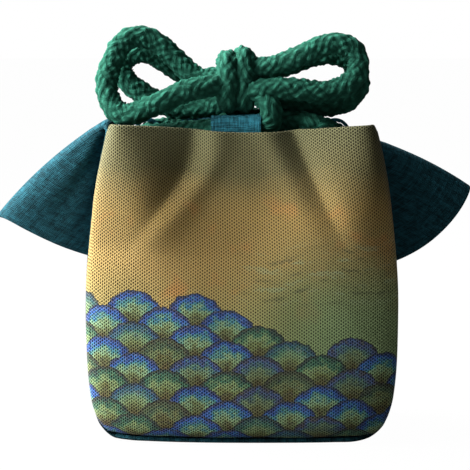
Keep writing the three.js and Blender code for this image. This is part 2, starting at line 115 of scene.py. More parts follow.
def gather(x, z):
    """Sum on each side of an exponential crease, a low roll inside it and a bell-shaped lobe outside it.

    The crease runs down from the rim and bends outwards, the lobe drifts inwards, and all of it fades out.
    """
    below = np.maximum(RIM_HEIGHT - z, 0)
    out = 0
    for fold in CREASES:
        bent = (np.hypot(below - fold["late"], LATE_ROUND) + below - fold["late"]) / 2
        from_crease = fold["side"] * x - fold["place"] - fold["spread"] * bent
        wide = np.where(from_crease > 0, fold["outer"], fold["inner"])
        crease = np.exp((CREASE_ROUND - np.hypot(from_crease, CREASE_ROUND)) / wide)
        roll = np.exp(-(((from_crease + ROLL_OFF) / ROLL_WIDTH) ** 2))
        out = out + faded(below, GATHER_DEPTH) * (ROLL_OUT * roll - fold["depth"] * crease)
    for lobe in LOBES:
        from_lobe = lobe["side"] * x - lobe["place"] + lobe["drift"] * below
        out = out + faded(below, LOBE_DEPTH) * lobe["height"] * np.exp(-((from_lobe / lobe["width"]) ** 2))
    return out


def edge_wrap(share, z):
    """Height of a superellipse 1 high at a share of its half width, squarer on the right and near the rim."""
    square = np.where(share < 0, LEFT_SQUARENESS, RIGHT_SQUARENESS)
    square = square + (RIM_SQUARENESS - square) * smoothstep(z, SQUARE_FROM, SQUARE_FULL)
    return (1 - np.abs(share) ** square) ** (1 / square)


def panel_surface(across, up, facing, below=0.0):
    """A panel's outside: half a superellipse across at each height, pushed in and out by the gathers.

    across runs -1 to 1 between the upright seams, up 0 to 1 from the bottom seam to a level below the rim.
    The rim dips by a raised cosine in its middle, is rounded off at its corners and lies lower at the back.
    """
    level = SEAM_RISE + up * (RIM_HEIGHT - below - SEAM_RISE)
    share = np.sin(np.pi / 2 * across)
    x = half_width(level) * share
    from_dip = np.minimum(np.abs(x - RIM_DIP_MIDDLE) / RIM_DIP_REACH, 1)
    dip = RIM_DIP * np.cos(np.pi / 2 * from_dip) ** 2 + BACK_RIM_DROP * (facing > 0)
    dip = dip + RIM_CORNER_DROP * smoothstep(np.abs(share), RIM_CORNER_FROM, 1)
    z = SEAM_RISE + up * (RIM_HEIGHT - dip - below - SEAM_RISE)
    depth = seam_depth(level) + EDGE_WRAP * edge_wrap(share, level)
    from_middle = x if facing < 0 else x - BACK_GATHER_SHIFT
    off_seam = 1 - np.abs(share) ** LOBE_SQUARENESS
    return np.stack([x, facing * (depth + off_seam * gather(from_middle, z)), z], axis=-1)


def outward(points):
    """Unit normals of a grid of points: the way along its rows crossed with the way across them."""
    return unit(np.cross(np.gradient(points, axis=0), np.gradient(points, axis=1)))


def folded_edge(points, axis, last, radius, inside):
    """Carries one border of a grid round a half circle and then straight back behind the cloth."""
    grid, normal = (np.moveaxis(a, axis, 0) for a in (points, outward(points)))
    if not last:
        grid, normal = grid[::-1], normal[::-1]
    way = unit(grid[-1] - grid[-2])
    turn = np.linspace(0, np.pi, FOLD_TURNS + 1)[1:, None, None]
    fold = grid[-1] + radius * (np.sin(turn) * way - (1 - np.cos(turn)) * normal[-1])
    back = fold[-1] - way * np.linspace(0, inside, FOLD_BACKS + 1)[1:, None, None]
    grown = np.concatenate([grid, fold, back])
    return np.moveaxis(grown if last else grown[::-1], 0, axis)


def flat_lengths(points):
    """Cloth coordinates of a grid in mm: lengths along each row from its middle, and down the columns."""
    across = np.linalg.norm(np.diff(points, axis=1), axis=-1)
    along = np.linalg.norm(np.diff(points, axis=0), axis=-1).mean(axis=1)
    u = np.concatenate([np.zeros((len(points), 1)), np.cumsum(across, axis=1)], axis=1)
    v = np.concatenate([[0], np.cumsum(along)])[:, None]
    return np.stack(np.broadcast_arrays(u - u[:, -1:] / 2, v), axis=-1)


def grid_piece(name, points, uv, material, around=False):
    """An object of quads over a grid of points in mm, smooth, with its cloth coordinates in metres."""
    rows, columns = points.shape[:2]
    i, j = np.meshgrid(np.arange(rows - 1), np.arange(columns if around else columns - 1), indexing="ij")
    corners = np.stack([(i, j), (i + 1, j), (i + 1, j + 1), (i, j + 1)])
    corners = corners.transpose(2, 3, 0, 1).reshape(-1, 2)
    mesh = bpy.data.meshes.new(name)
    mesh.vertices.add(rows * columns)
    mesh.vertices.foreach_set("co", (points * MM).ravel())
    mesh.loops.add(len(corners))
    mesh.loops.foreach_set("vertex_index", corners[:, 0] * columns + corners[:, 1] % columns)
    mesh.polygons.add(len(corners) // 4)
    mesh.polygons.foreach_set("loop_start", np.arange(0, len(corners), 4))
    mesh.polygons.foreach_set("use_smooth", np.ones(len(corners) // 4, dtype=bool))
    layer = mesh.uv_layers.new(name="cloth")
    layer.uv.foreach_set("vector", (uv[corners[:, 0], corners[:, 1]] * MM).ravel())
    mesh.update(calc_edges=True)
    mesh.materials.append(material)
    piece = bpy.data.objects.new(name, mesh)
    bpy.context.scene.collection.objects.link(piece)
    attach(piece, "root")
    return piece


class Wire:
    """An output of a material's node. Arithmetic adds Math nodes, and node() adds any other node."""

    def __init__(self, socket):
        self.socket = socket

    def node(self, kind, inputs, output=0, stops=(), **settings):
        """Adds a node: its settings first, then a ramp's (place, colour) stops, then its inputs."""
        made = self.socket.id_data.nodes.new(kind)
        for key, value in settings.items():
            setattr(made, key, value)
        for number, (place, colour) in enumerate(stops):
            ends = {0: 0, len(stops) - 1: -1}
            marks = made.color_ramp.elements
            stop = marks[ends[number]] if number in ends else marks.new(place)
            stop.position, stop.color = place, colour
        for key, value in inputs.items():
            feed(value, made.inputs[key])
        return Wire(made.outputs[output])

    def maths(self, operation, first, *others):
        return self.node("ShaderNodeMath", dict(enumerate((first, *others))), operation=operation)

    def __add__(self, other):
        return self.maths("ADD", self, other)

    __radd__ = __add__

    def __sub__(self, other):
        return self.maths("SUBTRACT", self, other)

    def __rsub__(self, other):
        return self.maths("SUBTRACT", other, self)

    def __mul__(self, other):
        return self.maths("MULTIPLY", self, other)

    __rmul__ = __mul__

    def __truediv__(self, other):
        return self.maths("DIVIDE", self, other)

    def __mod__(self, other):
        return self.maths("FLOORED_MODULO", self, other)

    def __lt__(self, other):
        return self.maths("LESS_THAN", self, other)

    def sine(self):
        return self.maths("SINE", self)

    def floor(self):
        return self.maths("FLOOR", self)

    def size(self):
        return self.maths("ABSOLUTE", self)

    def hypot(self, other):
        return self.maths("SQRT", self * self + other * other)

    def step(self, low, high):
        """A smooth step from 0 at low to 1 at high."""
        inputs = {"Value": self, "From Min": low, "From Max": high}
        return self.node("ShaderNodeMapRange", inputs, interpolation_type="SMOOTHSTEP")

    def noise(self, scale, detail=2.0, roughness=0.5):
        """Noise of about 0.5 at this vector, with that many waves to the unit."""
        inputs = {"Vector": self, "Scale": scale, "Detail": detail, "Roughness": roughness}
        return self.node("ShaderNodeTexNoise", inputs)

    def parts(self):
        """The x and y of this vector."""
        split = self.node("ShaderNodeSeparateXYZ", {0: self})
        return split, Wire(split.socket.node.outputs[1])

    def with_y(self, y):
        """A vector of this value and another."""
        return self.node("ShaderNodeCombineXYZ", {0: self, 1: y})

    def ramp(self, *stops):
        """A colour that goes through (place, sRGB triple) stops."""
        return self.node("ShaderNodeValToRGB", {0: self}, stops=[(at, linear(c)) for at, c in stops])

    def blend(self, first, second):
        """Colour first where this is 0 and second where it is 1."""
        return self.node("ShaderNodeMix", {0: self, 6: first, 7: second}, 2, data_type="RGBA")


def feed(value, socket):
    """Links a wire to an input, or sets the input to a number or colour."""
    if isinstance(value, Wire):
        socket.id_data.links.new(value.socket, socket)
    else:
        socket.default_value = value


def linear(colour):
    """An sRGB triple of 0 to 255 as linear RGBA."""
    c = np.array(colour, float) / 255
    return (*np.where(c < 0.04045, c / 12.92, ((c + 0.055) / 1.055) ** 2.4), 1.0)


def new_material(name):
    """A material, its shader, and the wires of its cloth coordinates in mm and its position in metres."""
    material = bpy.data.materials.new(name)
    material.use_nodes = True
    nodes = material.node_tree.nodes
    shader = nodes["Principled BSDF"]
    place = nodes.new("ShaderNodeTexCoord")
    to_mm = {0: Wire(place.outputs["UV"]), 1: (1000.0, 1000.0, 0.0)}
    cloth = Wire(place.outputs["UV"]).node("ShaderNodeVectorMath", to_mm, operation="MULTIPLY")
    return material, shader, cloth, Wire(place.outputs["Object"])


SHEEN_ROUGHNESS = 0.6


def rough_cloth(shader, colour, height, distance, roughness=0.9, sheen=0.25, gloss=0.25):
    """Finishes a cloth shader: its colour, a bump of that distance in metres, soft sheen and low gloss."""
    feed(colour, shader.inputs["Base Color"])
    inputs = {"Height": height, "Distance": distance, "Strength": 1.0}
    feed(height.node("ShaderNodeBump", inputs), shader.inputs["Normal"])
    shader.inputs["Roughness"].default_value = roughness
    shader.inputs["Sheen Weight"].default_value = sheen
    shader.inputs["Sheen Roughness"].default_value = SHEEN_ROUGHNESS
    shader.inputs["Specular IOR Level"].default_value = gloss


WEAVE_WIDE, WEAVE_HIGH, WEAVE_BUMP = 0.886, 0.63, 0.00012
# The weave's holes take a painted shade near black, and the threads' crowns a faint painted cream highlight.
WEAVE_HOLE_SHADE, WEAVE_CROWN_HIGHLIGHT = (12, 11, 3), (205, 198, 170)
SCALE_RADIUS = 12.0
SCALE_RISE = SCALE_RADIUS / 2
PRINT_TOP, PRINT_WAVE, PRINT_REACH, PRINT_PHASE = 40.0, 15.0, 36.0, 2.4
PRINT_SHIFTS = {-1: 7.0, 1: 31.0}
BLUE_WASH = (
    (0.05, (62, 58, 32)), (0.3, (106, 122, 76)), (0.5, (130, 168, 126)),
    (0.66, (54, 132, 136)), (0.82, (20, 90, 172)), (0.97, (12, 50, 118)),
)
GREEN_WASH = (
    (0.05, (68, 56, 30)), (0.35, (98, 108, 58)), (0.55, (128, 154, 102)),
    (0.75, (48, 110, 84)), (0.97, (18, 56, 62)),
)
BARE_SCALE, SCALE_RINGS, SCALE_OUTLINE = (78, 68, 36), (32, 52, 66), (24, 30, 30)
GROUND_HEIGHT = 125.0
# The ground's colour up the panel: ochre and orange low down, turning darker olive towards the rim.
GROUND_RAMP = (
    (0.0, (130, 114, 64)), (0.35, (162, 150, 88)), (0.56, (170, 140, 78)),
    (0.72, (147, 121, 62)), (0.86, (89, 83, 43)), (1.0, (76, 77, 43)),
)
# The second colour is painted shade: a darker green laid over the ground's lower right.
RUST_STAIN, LOWER_RIGHT_SHADE = (198, 123, 55), (103, 143, 99)
PALE_RIPPLE, DARK_RIPPLE = (150, 168, 128), (64, 74, 54)


def scale_rows(cloth, wobble, shift):
    """Rows of overlapping round scales, every other row half a scale along, up to a wavy line of sine form.

    Gives 1 on a scale, the distance from that scale's middle in radii, and a chance number of its own.
    """
    x, z = cloth.parts()
    sway = x + 2.2 * wobble + shift
    rise = z + 2.4 * (cloth.noise(0.3, 2.0) - 0.5)
    first_row = (rise / SCALE_RISE).floor() - 1.0
    hit, distance, tint = 0.0, 1.0, 0.0
    for step in (2.0, 1.0, 0.0):
        row = first_row + step
        stagger = (row % 2.0) * SCALE_RADIUS
        column = ((sway + stagger) / (2 * SCALE_RADIUS)).floor()
        from_x = sway + stagger - (column + 0.5) * (2 * SCALE_RADIUS)
        reach = from_x.hypot(rise - row * SCALE_RISE) / SCALE_RADIUS
        seed = column.with_y(row + shift)
        chance = seed.node("ShaderNodeTexWhiteNoise", {"Vector": seed}, noise_dimensions="2D")
        middle = (column + 0.5) * (2 * SCALE_RADIUS) - stagger
        edge = PRINT_TOP + PRINT_WAVE * (middle / PRINT_REACH + PRINT_PHASE).sine() - 2.0 * chance
        here = (reach < 1.0) * (row * SCALE_RISE < edge)
        hit = here + (1.0 - here) * hit
        distance = here * reach + (1.0 - here) * distance
        tint = here * chance + (1.0 - here) * tint
    return hit, distance, tint


def scale_colour(cloth, wobble, grain, distance, tint):
    """A scale's colour by its distance from the middle: blue or green washes, thin rings, a dark outline."""
    brush = 0.9 * (cloth.noise(0.32, 4.0, 0.6) - 0.5)
    blue, green = (distance + brush).ramp(*BLUE_WASH), (distance - brush).ramp(*GREEN_WASH)
    colour = tint.step(0.5, 0.62).blend(blue, green)
    bare = ((tint * 7.3) % 1.0).step(0.55, 0.9) * (0.5 + brush)
    colour = bare.blend(colour, linear(BARE_SCALE))
    rings = ((distance * 4.0 + 0.25 * wobble) % 1.0 - 0.5).size().step(0.34, 0.47)
    colour = (0.34 * rings * grain.step(0.3, 0.6)).blend(colour, linear(SCALE_RINGS))
    outline = distance.step(0.9, 0.98)
    return (outline * (0.35 + 0.6 * grain)).blend(colour, linear(SCALE_OUTLINE))


def ground_colour(cloth, wobble):
    """The ground: a ramp up its height, rust stains, green painted shade at the lower right, ripples of a
    broken sine form.
    """
    x, z = cloth.parts()
    colour = (z / GROUND_HEIGHT + 0.12 * (cloth.noise(0.045, 2.0) - 0.5)).ramp(*GROUND_RAMP)
    rust = (cloth.noise(0.06, 2.0) - 0.5).step(0.04, 0.2) * z.step(30.0, 60.0) * (1.0 - z.step(84.0, 104.0))
    colour = (0.45 * rust).blend(colour, linear(RUST_STAIN))
    # Painted shade: a darker green tint that grows towards the right and fades out upwards.
    green = x.step(-18.0, 36.0) * (1.0 - z.step(48.0, 90.0))
    colour = (0.75 * green).blend(colour, linear(LOWER_RIGHT_SHADE))
    ripple = (z * 0.9 + 2.6 * (x * 0.16).sine() + 5.0 * wobble).sine()
    broken = (x * 0.05).with_y(z * 0.35).noise(1.0, 3.0).step(0.46, 0.62) * x.step(-12.0, 16.0)
    broken = broken * z.step(52.0, 60.0) * (1.0 - z.step(72.0, 82.0))
    colour = (0.5 * broken * ripple.step(0.35, 0.9)).blend(colour, linear(PALE_RIPPLE))
    return (0.5 * broken * (ripple * -1.0).step(0.5, 0.95)).blend(colour, linear(DARK_RIPPLE))


def open_weave(cloth):
    """The hollows and crowns of a six-way lattice: twice sine by sine, less the cosine of twice the first."""
    x, z = cloth.parts()
    along_weft, along_warp = x * (np.pi / WEAVE_WIDE), z * (np.pi / WEAVE_HIGH)
    holes = 2.0 * along_weft.sine() * along_warp.sine() - (2.0 * along_weft + np.pi / 2).sine()
    return holes.step(-1.1, 2.0), (holes * -1.0).step(0.2, 1.2)


def printed_canvas(name, shift):
    """Ochre canvas with the scales printed low on it, under a lattice of holes between its threads painted
    dark as shade.
    """
    material, shader, cloth, _ = new_material(name)
    wobble = cloth.noise(0.35, 3.0) - 0.5
    grain = cloth.noise(1.1, 4.0, 0.65)
    hit, distance, tint = scale_rows(cloth, wobble, shift)
    scale = scale_colour(cloth, wobble, grain, distance, tint)
    print_depth = hit * (0.72 + 0.28 * grain.step(0.3, 0.55))
    colour = print_depth.blend(ground_colour(cloth, wobble), scale)
    hollow, crown = open_weave(cloth)
    uneven = 0.75 + 0.5 * cloth.noise(0.9, 2.0)
    # Painted shade in the holes of the weave, then a painted highlight on the crowns of the threads.
    colour = (0.92 * hollow * uneven).blend(colour, linear(WEAVE_HOLE_SHADE))
    colour = (0.1 * crown).blend(colour, linear(WEAVE_CROWN_HIGHLIGHT))
    height = 0.4 * crown - 0.7 * hollow + 0.35 * grain
    rough_cloth(shader, colour, height, WEAVE_BUMP, sheen=0.05, gloss=0.12)
    return material


def canvas_panel(name, facing):
    """One panel: its outside with the rim folded in, and narrow allowances turned in along its seams."""
    down, along = 1 - np.linspace(0, 1, PANEL_ROWS), np.linspace(facing, -facing, PANEL_COLUMNS)
    up, across = np.meshgrid(down, along, indexing="ij")
    points = panel_surface(across, up, facing)
    x, z = points[..., 0], points[..., 2]
    ripple = np.sin(x * 0.21 + z * 0.05) * np.sin(z * 0.11 + facing)
    points = points + PANEL_RIPPLE * ripple[..., None] * outward(points)
    points = folded_edge(points, 0, False, HEM_RADIUS, PANEL_HEM)
    for axis, last in ((0, True), (1, False), (1, True)):
        points = folded_edge(points, axis, last, SEAM_RADIUS, SEAM_ALLOWANCE)
    uv = flat_lengths(points)
    uv[..., 1] = uv[-1 - FOLD_ROWS, 0, 1] - uv[..., 1]
    canvas = printed_canvas(name + "_canvas", PRINT_SHIFTS[facing])
    piece = grid_piece(name + "_cloth", points, uv, canvas)
    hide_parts(name)
    return piece


front_panel = canvas_panel("front_panel", -1)
back_panel = canvas_panel("back_panel", 1)

# Strip. One length of teal slubbed linen that makes the left side, the base and the right side. Each long end
# is pinched at the rim and folded over outwards, and hangs as a wing: a tent with its ridge on top.
WING_FULLNESS, WING_TUCK, RIDGE_ROUND = 0.5, 0.76, 0.25
WING_FULLEST = (WING_FULLNESS / (WING_TUCK * (1 + WING_FULLNESS))) ** WING_FULLNESS / (1 + WING_FULLNESS)
WRINKLE, WRINKLES_ACROSS, WRINKLES_ALONG = 1.3, 2.2, 0.9
PINCH_HALF_WIDTH, PINCH_DROP, PINCH_INWARD, WING_HALF_WIDTH = 7.0, 4.0, 0.35, 9.5
SIDE_SAG_LOW, SIDE_SAG_HIGH, SIDE_SAG_RIM = 2.0, 8.5, 4.0
SAG_GROWS, SAG_FULL, SAG_EASES, SAG_ENDS = 0.33, 0.6, 0.87, 0.99
LIP_START, LIP_RISE, SEAM_TUCK = 0.8, 1.6, 0.2
STRIP_THICKNESS = 1.3
STRIP_ROWS, STRIP_COLUMNS = 620, 49
WING_STATIONS, SIDE_STATIONS, BASE_STATIONS = 10, 15, (0.88, 0.7, 0.5, 0.3)
LEFT_WING = {
    "side": -1, "x": RIM_WIDTH / 2 + 0.9, "z": RIM_HEIGHT, "ridge_angle": 41.2, "ridge_reach": 56.6,
    "arch": 9.8, "sweep": -5.0, "inner_angle": 85.8, "inner_reach": 53.0, "hem_dip": 0.068,
}
RIGHT_WING = {
    "side": 1, "x": RIM_WIDTH / 2 - 0.8, "z": RIM_HEIGHT - 7.8, "ridge_angle": 26.1, "ridge_reach": 43.8,
    "arch": 8.0, "sweep": 9.0, "inner_angle": 83.8, "inner_reach": 50.0, "hem_dip": 0.039,
}


def smooth_run(stations, count):
    """Even steps along cubic curves through stations, with each station's slope taken from its neighbours."""
    stations = np.asarray(stations, float)
    gaps = np.linalg.norm(np.diff(stations, axis=0), axis=-1).reshape(len(stations) - 1, -1).mean(axis=1)
    at = np.concatenate([[0], np.cumsum(gaps)])
    slope = np.gradient(stations, at, axis=0)
    where = np.linspace(0, at[-1], count)
    k = np.clip(np.searchsorted(at, where, side="right") - 1, 0, len(at) - 2)
    wide = (at[k + 1] - at[k]).reshape((-1,) + (1,) * (stations.ndim - 1))
    t = (where - at[k]).reshape(wide.shape) / wide
    start, end = stations[k], stations[k + 1]
    ease = t * t * (3 - 2 * t)
    return start + (end - start) * ease + wide * t * (1 - t) * (slope[k] * (1 - t) - slope[k + 1] * t)


def lip(across):
    """Rise of the base's edge: 0 on the flat, and the square of the way from there to the seam."""
    return np.maximum((np.abs(across) - LIP_START) / (1 - LIP_START), 0) ** 2


def strip_side(across, z, side):
    """A row of the strip up one side: it sags in between its seams by a raised cosine."""
    up = z / RIM_HEIGHT
    sag = SIDE_SAG_LOW + (SIDE_SAG_HIGH - SIDE_SAG_LOW) * smoothstep(up, SAG_GROWS, SAG_FULL)
    sag = sag - (SIDE_SAG_HIGH - SIDE_SAG_RIM) * smoothstep(up, SAG_EASES, SAG_ENDS)
    drop = SEAM_RISE * (1 - np.clip((z - SEAM_RISE) / FOOT_CORNER_RISE, 0, 1)) ** 2
    x = side * (half_width(z) - sag * (0.5 + 0.5 * np.cos(np.pi * across)))
    y = (seam_depth(z) - SEAM_TUCK) * across
    return np.stack([x, y, z - drop * (1 - LIP_RISE / SEAM_RISE * lip(across))], axis=-1)


def strip_base(across, x):
    """A row of the strip across the base: flat, with a lip that rises to the bottom seams."""
    share = np.clip(x / half_width(np.array(SEAM_RISE)), -1, 1)
    y = (seam_depth(np.array(SEAM_RISE)) + EDGE_WRAP * edge_wrap(share, SEAM_RISE) - SEAM_TUCK) * across
    return np.stack([np.full_like(across, x), y, LIP_RISE * lip(across)], axis=-1)


def wing_row(across, out, wing):
    """A row of a wing: a fan round the pinch, turned from the ridge's angle to the inner edge's.

    Its fullness is a power of the way off the ridge, tucked in towards the edge, with low sine wrinkles.
    """
    off = np.abs(across)
    turned = (np.hypot(off, RIDGE_ROUND) - RIDGE_ROUND) / (np.hypot(1, RIDGE_ROUND) - RIDGE_ROUND)
    flatter = wing["arch"] * (1 - out) * (1 - off)
    angle = np.radians(wing["ridge_angle"] + (wing["inner_angle"] - wing["ridge_angle"]) * turned - flatter)
    dip = 1 - wing["hem_dip"] * 4 * off * (1 - off)
    reach = out * dip * (wing["ridge_reach"] + (wing["inner_reach"] - wing["ridge_reach"]) * off)
    spread = PINCH_HALF_WIDTH + (WING_HALF_WIDTH - PINCH_HALF_WIDTH) * out
    full = off**WING_FULLNESS * (1 - WING_TUCK * off) / WING_FULLEST
    x = wing["side"] * (wing["x"] + reach * np.cos(angle))
    wave = np.sin(2 * np.pi * (WRINKLES_ACROSS * turned + WRINKLES_ALONG * out))
    wrinkle = WRINKLE * wave * 4 * out * (1 - out) * (1 - off)
    y = np.sign(across) * (spread * full + wrinkle * off) + wing["sweep"] * out
    return np.stack([x, y, wing["z"] - reach * np.sin(angle)], axis=-1)


def strip_half(across, wing):
    """Rows of half the strip, from the wing's hem over the pinch and down the side to the base."""
    rows = [wing_row(across, out, wing) for out in np.linspace(1, 1 / WING_STATIONS, WING_STATIONS)]
    top = RIM_HEIGHT - PINCH_DROP - (LEFT_WING["z"] - wing["z"])
    pinch = wing_row(across, 0, wing) * (1 - PINCH_INWARD)
    pinch = pinch + strip_side(across, np.full_like(across, top), wing["side"]) * PINCH_INWARD
    pinch[:, 2] = wing["z"] - PINCH_DROP / 2 * across**2
    heights = SEAM_RISE + (top - SEAM_RISE) * (1 - np.linspace(0, 1, SIDE_STATIONS)) ** 1.3
    sides = [strip_side(across, np.full_like(across, z), wing["side"]) for z in heights]
    foot = half_width(np.array(SEAM_RISE))
    base = [strip_base(across, wing["side"] * foot * share) for share in BASE_STATIONS]
    return rows + [pinch] + sides + base


# The strip's teal is a darker copy of the straps' linen colour, as painted shade.
STRIP_SHADED_TEAL = (31, 73, 83)
WARP_PITCH, WEFT_PITCH, LINEN_BUMP = 0.62, 0.7, 0.00025


def slub_linen(name, colour):
    """Plain linen: crossed threads of uneven thickness, lighter slubs, and painted shade in the gaps between
    them.
    """
    material, shader, cloth, _ = new_material(name)
    x, z = cloth.parts()
    wander = 0.9 * (cloth.noise(0.25, 2.0) - 0.5)
    warp = ((x + wander) * (2 * np.pi / WARP_PITCH)).sine()
    weft = ((z - wander) * (2 * np.pi / WEFT_PITCH)).sine()
    long_slub = (x * 1.6).with_y(z * 0.12).noise(1.0, 3.0, 0.6)
    cross_slub = (x * 0.12).with_y(z * 1.6).noise(1.0, 3.0, 0.6)
    slub = long_slub + cross_slub
    mottle = cloth.noise(0.4, 4.0, 0.6)
    # The tone follows the slubs and mottling, and is painted darker as shade in the gaps between the threads.
    shade = (0.5 * slub + 0.6 * mottle + 0.03 * (warp + weft)).step(0.55, 1.1)
    base = np.array(colour, float)
    tone = shade.blend(linear(base * 0.5), linear(base * 1.22))
    height = 0.2 * warp + 0.2 * weft + 1.3 * slub + 1.2 * mottle
    rough_cloth(shader, tone, height, LINEN_BUMP, sheen=0.0, gloss=0.06)
    return material


EDGE_ROUND = 0.3


def thicken(piece, thickness, offset):
    """Gives a sheet its thickness in mm, behind it for an offset of -1, with a rounded edge."""
    wall = piece.modifiers.new("thickness", "SOLIDIFY")
    wall.thickness = thickness * MM
    wall.offset = offset
    edge = piece.modifiers.new("edge", "BEVEL")
    edge.width = EDGE_ROUND * thickness * MM
    edge.segments = 2
    edge.limit_method = "ANGLE"


teal_linen = slub_linen("teal_linen", STRIP_SHADED_TEAL)
strip_across = np.linspace(1, -1, STRIP_COLUMNS)
strip_stations = (
    strip_half(strip_across, LEFT_WING)
    + [strip_base(strip_across, 0.0)]
    + strip_half(strip_across, RIGHT_WING)[::-1]
)
strip_points = smooth_run(strip_stations, STRIP_ROWS)
# The smoothed run dips a little where the sides turn into the base, so it is held up on the ground there.
strip_points[..., 2] = np.maximum(strip_points[..., 2], 0)
gusset_strip = grid_piece("gusset_strip_cloth", strip_points, flat_lengths(strip_points), teal_linen)
thicken(gusset_strip, STRIP_THICKNESS, -1.0)
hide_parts("gusset_strip")

# Lining. A plain dark bag of thin cotton, sewn inside the panels and the strip and felled to them just
# below the rim.
LINING_INSET, LINING_BELOW_RIM, LINING_FLOOR, LINING_FLOOR_SHARE = 3.4, 4.0, 2.3, 0.86
LINING_WALL_START = 12.0
LINING_ROWS, LINING_FLOOR_ROWS, LINING_ACROSS, LINING_BESIDE = 60, 12, 90, 18
LINING_TEAL, COTTON_PITCH, COTTON_BUMP = (24, 58, 66), 0.5, 0.00006


def lining_loop(up):
    """One closed row round the inside: front, right side, back and left side at one share of the height."""
    level = SEAM_RISE + up * (RIM_HEIGHT - LINING_BELOW_RIM - SEAM_RISE)
    across = np.linspace(-1, 1, LINING_ACROSS + 1)[:-1]
    beside = np.linspace(-1, 1, LINING_BESIDE + 1)[:-1]
    height = level - up * (RIM_CORNER_DROP + BACK_RIM_DROP * (1 + beside) / 2)
    return np.concatenate([
        panel_surface(across, np.full_like(across, up), -1, LINING_BELOW_RIM),
        strip_side(beside, height, 1),
        panel_surface(-across, np.full_like(across, up), 1, LINING_BELOW_RIM),
        strip_side(-beside, height[::-1], -1),
    ])


wall_start = (LINING_WALL_START - SEAM_RISE) / (RIM_HEIGHT - LINING_BELOW_RIM - SEAM_RISE)
lining_rows = np.stack([lining_loop(up) for up in np.linspace(1, wall_start, LINING_ROWS)])
wrapped = np.concatenate([lining_rows[:, -1:], lining_rows, lining_rows[:, :1]], axis=1)
lining_rows = lining_rows + LINING_INSET * -outward(wrapped)[:, 1:-1]
foot_loop = lining_loop(0.0)
floor_shares = np.linspace(LINING_FLOOR_SHARE, 0.01, LINING_FLOOR_ROWS)[:, None, None]
floor_rows = floor_shares * (foot_loop * (1, 1, 0)) + (0, 0, LINING_FLOOR)
lining_points = np.concatenate([lining_rows, floor_rows])[:, ::-1]


def plain_cotton(name, colour):
    """Thin smooth cotton: fine even threads and a faint unevenness of the dye."""
    material, shader, cloth, _ = new_material(name)
    x, z = cloth.parts()
    threads = (x * (2 * np.pi / COTTON_PITCH)).sine() + (z * (2 * np.pi / COTTON_PITCH)).sine()
    dye = cloth.noise(0.15, 3.0)
    base = np.array(colour, float)
    tone = dye.step(0.2, 0.8).blend(linear(base * 0.8), linear(base * 1.15))
    rough_cloth(shader, tone, threads, COTTON_BUMP)
    return material


def close_poles(piece):
    """Merges the points that share a place, such as those of a grid's last row drawn into one."""
    work = bmesh.new()
    work.from_mesh(piece.data)
    bmesh.ops.remove_doubles(work, verts=work.verts, dist=1e-6)
    work.to_mesh(piece.data)
    work.free()


lining_uv = flat_lengths(np.concatenate([lining_points, lining_points[:, :1]], axis=1))
lining_cotton = plain_cotton("lining_cotton", LINING_TEAL)
lining = grid_piece("lining_cloth", lining_points, lining_uv, lining_cotton, around=True)
close_poles(lining)
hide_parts("lining")

# Belt loops. Short straps of the same linen, folded round the cord with both ends caught in the seam under
# the rim, and top-stitched along their two edges. One is on each panel and one at each side. Their teal is a
# lighter copy of the strip's, as painted light.
CORD_DIAMETER, LOOP_CLEARANCE, TAB_THICKNESS, TAB_TONGUE = 8.6, 0.5, 1.2, 9.0
LOOP_RADIUS = CORD_DIAMETER / 2 + LOOP_CLEARANCE + TAB_THICKNESS / 2
NECK_HALF_DEPTH, NECK_HALF_WIDTH, NECK_FRONT, NECK_HEIGHT = 11.6, 37.1, 121.1, 119.0
FRONT_TAB = (-2.3, -NECK_HALF_DEPTH, NECK_FRONT)
BACK_TAB = (-14.3, NECK_HALF_DEPTH, NECK_FRONT)
SIDE_TABS = ((-NECK_HALF_WIDTH, 0, NECK_HEIGHT), (NECK_HALF_WIDTH, 0, NECK_HEIGHT))
TABS = (
    {"name": "front_tab", "at": FRONT_TAB, "turn": 90, "width": 19.4, "lean": 1.5, "tilt": 0.035},
    {"name": "back_tab", "at": BACK_TAB, "turn": -90, "width": 19.4, "lean": 2.3, "tilt": 0.0},
    {"name": "left_tab", "at": SIDE_TABS[0], "turn": 0, "width": 5.4, "lean": 0.4, "tilt": 0.0},
    {"name": "right_tab", "at": SIDE_TABS[1], "turn": 180, "width": 5.4, "lean": 0.4, "tilt": 0.0},
)
LOOP_CLOSE = -0.78 * np.pi
TAB_ROWS, TAB_COLUMNS = 90, 25
NARROWEST_CUT = 0.01  # the least width in metres that a sheet's flat size may have
STITCH_LENGTH, STITCH_GAP, STITCH_RADIUS, STITCH_INSET = 1.7, 0.6, 0.16, 0.11
STITCH_RINGS, STITCH_SIDES = 6, 6
# The straps' teal is a lighter copy of the strip's linen colour, as painted light.
STRAP_LIT_TEAL, THREAD_TEAL, THREAD_BUMP = (42, 103, 117), (30, 66, 78), 0.00008


def strap_profile(lean):
    """The strap seen along the cord: up its outer layer, round a circle over the cord, down its inner layer.

    The outer layer leans out by the square of the way down.
    """
    turn = np.linspace(np.pi, LOOP_CLOSE, 40)
    ring = LOOP_RADIUS * np.stack([np.cos(turn), np.sin(turn)], axis=-1)
    down = np.linspace(-TAB_TONGUE, -TAB_THICKNESS / 2, 8)[:, None]
    outer = np.concatenate([-LOOP_RADIUS - lean * (down / -TAB_TONGUE) ** 2, down], axis=1)
    inner = outer[3::-1] + (1.1 * TAB_THICKNESS, 0)
    return smooth_run(np.concatenate([outer, ring, inner]), TAB_ROWS)


def placed(tab, inward, along, up):
    """Points at distances towards the mouth's middle, along the cord and upwards, from a loop's place."""
    turn = np.radians(tab["turn"])
    x = inward * np.cos(turn) - along * np.sin(turn)
    y = inward * np.sin(turn) + along * np.cos(turn)
    return np.stack([x, y, up], axis=-1) + tab["at"]


